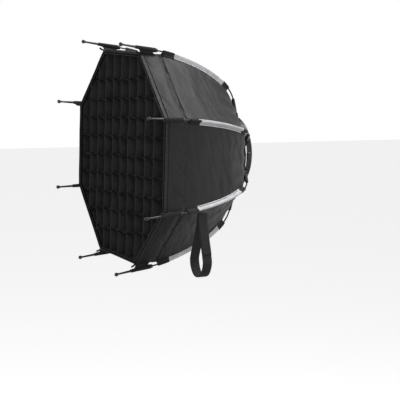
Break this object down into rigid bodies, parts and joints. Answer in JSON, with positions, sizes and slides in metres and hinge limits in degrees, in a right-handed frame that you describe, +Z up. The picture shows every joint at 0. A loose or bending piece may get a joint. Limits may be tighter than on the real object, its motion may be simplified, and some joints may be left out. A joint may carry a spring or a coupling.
{
  "type": "studio softbox",
  "caption": "Octagonal quick-open softbox with eight folding ribs, a bayonet speed ring, a front diffuser, an egg-crate grid and a carry loop.",
  "frame": {"origin": "centre of the bayonet ring's rear seating face, where the lamp holds the softbox", "axes": "+Y along the optical axis towards the lamp, so the softbox opens towards -Y; +Z up with flats of the octagon at top and bottom"},
  "size_m": [0.4564, 0.3279, 0.4564],
  "materials": {
    "black_fabric": "matte coated nylon",
    "channel_fabric": "light grey twill binding",
    "grid_fabric": "matte",
    "diffuser_fabric": "translucent white nylon",
    "strap_webbing": "ribbed webbing",
    "rod_steel": "black coated spring steel",
    "tip_plastic": "satin",
    "hub_plastic": "fine texture",
    "lock_alloy": "satin",
    "bright_steel": "plated",
    "bayonet_alloy": "satin"
  },
  "bodies": {
    "hub": {"hub_ring": "hub_plastic", "fabric_clamp_ring": "hub_plastic", "hub_rear_cover": "hub_plastic", "bayonet_ring": "bayonet_alloy", "hinge_wire": "bright_steel", "mount_screw_1": "bright_steel", "mount_screw_2": "bright_steel", "mount_screw_3": "bright_steel", "mount_screw_4": "bright_steel", "button_spring_near": "bright_steel", "button_spring_far": "bright_steel", "side_panel_1": "black_fabric", "side_panel_2": "black_fabric", "side_panel_3": "black_fabric", "side_panel_4": "black_fabric", "side_panel_5": "black_fabric", "side_panel_6": "black_fabric", "side_panel_7": "black_fabric", "side_panel_8": "black_fabric", "front_rim": "black_fabric", "egg_crate_grid": "grid_fabric", "front_diffuser": "diffuser_fabric", "inner_baffle": "diffuser_fabric"},
    "rib_1": {"rib_1_root": "hub_plastic", "rib_1_rod": "rod_steel", "rib_1_channel": "channel_fabric", "rib_1_tip": "tip_plastic"},
    "rib_2": {"rib_2_root": "hub_plastic", "rib_2_rod": "rod_steel", "rib_2_channel": "channel_fabric", "rib_2_tip": "tip_plastic"},
    "rib_3": {"rib_3_root": "hub_plastic", "rib_3_rod": "rod_steel", "rib_3_channel": "channel_fabric", "rib_3_tip": "tip_plastic"},
    "rib_4": {"rib_4_root": "hub_plastic", "rib_4_rod": "rod_steel", "rib_4_channel": "channel_fabric", "rib_4_tip": "tip_plastic"},
    "rib_5": {"rib_5_root": "hub_plastic", "rib_5_rod": "rod_steel", "rib_5_channel": "channel_fabric", "rib_5_tip": "tip_plastic"},
    "rib_6": {"rib_6_root": "hub_plastic", "rib_6_rod": "rod_steel", "rib_6_channel": "channel_fabric", "rib_6_tip": "tip_plastic"},
    "rib_7": {"rib_7_root": "hub_plastic", "rib_7_rod": "rod_steel", "rib_7_channel": "channel_fabric", "rib_7_tip": "tip_plastic"},
    "rib_8": {"rib_8_root": "hub_plastic", "rib_8_rod": "rod_steel", "rib_8_channel": "channel_fabric", "rib_8_tip": "tip_plastic"},
    "strap": {"carry_strap": "strap_webbing"},
    "button_near": {"release_button_near": "hub_plastic"},
    "button_far": {"release_button_far": "hub_plastic"},
    "lock": {"lock_ring": "lock_alloy"}
  },
  "joints": [
    {"name": "rib_1_fold", "type": "hinge", "parent": "hub", "child": "rib_1", "pos_m": [0.07299, -0.0205, 0.03023], "axis": [0.3827, 0, -0.9239], "range_deg": [0, 36], "deforming": ["side_panel_1", "side_panel_2", "side_panel_3", "side_panel_4", "side_panel_5", "side_panel_6", "side_panel_7", "side_panel_8", "front_rim", "egg_crate_grid", "front_diffuser", "inner_baffle"]},
    {"name": "rib_2_fold", "type": "hinge", "parent": "hub", "child": "rib_2", "pos_m": [0.03023, -0.0205, 0.07299], "axis": [0.9239, 0, -0.3827], "range_deg": [0, 36]},
    {"name": "rib_3_fold", "type": "hinge", "parent": "hub", "child": "rib_3", "pos_m": [-0.03023, -0.0205, 0.07299], "axis": [0.9239, 0, 0.3827], "range_deg": [0, 36]},
    {"name": "rib_4_fold", "type": "hinge", "parent": "hub", "child": "rib_4", "pos_m": [-0.07299, -0.0205, 0.03023], "axis": [0.3827, 0, 0.9239], "range_deg": [0, 36]},
    {"name": "rib_5_fold", "type": "hinge", "parent": "hub", "child": "rib_5", "pos_m": [-0.07299, -0.0205, -0.03023], "axis": [-0.3827, 0, 0.9239], "range_deg": [0, 36]},
    {"name": "rib_6_fold", "type": "hinge", "parent": "hub", "child": "rib_6", "pos_m": [-0.03023, -0.0205, -0.07299], "axis": [-0.9239, 0, 0.3827], "range_deg": [0, 36]},
    {"name": "rib_7_fold", "type": "hinge", "parent": "hub", "child": "rib_7", "pos_m": [0.03023, -0.0205, -0.07299], "axis": [-0.9239, 0, -0.3827], "range_deg": [0, 36]},
    {"name": "rib_8_fold", "type": "hinge", "parent": "hub", "child": "rib_8", "pos_m": [0.07299, -0.0205, -0.03023], "axis": [-0.3827, 0, -0.9239], "range_deg": [0, 36]},
    {"name": "strap_swing", "type": "hinge", "parent": "rib_8", "child": "strap", "pos_m": [0.199, -0.1835, -0.0915], "axis": [0, -1, 0], "range_deg": [-6, 60]},
    {"name": "button_press_near", "type": "slide", "parent": "hub", "child": "button_near", "axis": [-1, 0, 0], "range_m": [0, 0.003], "stiffness_N_per_m": 350, "springref_m": -0.003, "deforming": ["button_spring_near"]},
    {"name": "button_press_far", "type": "slide", "parent": "hub", "child": "button_far", "axis": [1, 0, 0], "range_m": [0, 0.003], "stiffness_N_per_m": 350, "springref_m": -0.003, "deforming": ["button_spring_far"]},
    {"name": "lock_lift", "type": "slide", "parent": "hub", "child": "lock", "axis": [0, 1, 0], "range_m": [0, 0.0015]}
  ],
  "couplings": [
    {"joint": "rib_2_fold", "follows": "rib_1_fold", "ratio": 1},
    {"joint": "rib_3_fold", "follows": "rib_1_fold", "ratio": 1},
    {"joint": "rib_4_fold", "follows": "rib_1_fold", "ratio": 1},
    {"joint": "rib_5_fold", "follows": "rib_1_fold", "ratio": 1},
    {"joint": "rib_6_fold", "follows": "rib_1_fold", "ratio": 1},
    {"joint": "rib_7_fold", "follows": "rib_1_fold", "ratio": 1},
    {"joint": "rib_8_fold", "follows": "rib_1_fold", "ratio": 1},
    {"joint": "button_press_far", "follows": "button_press_near", "ratio": 1},
    {"joint": "lock_lift", "follows": "button_press_near", "ratio": 0.5}
  ]
}
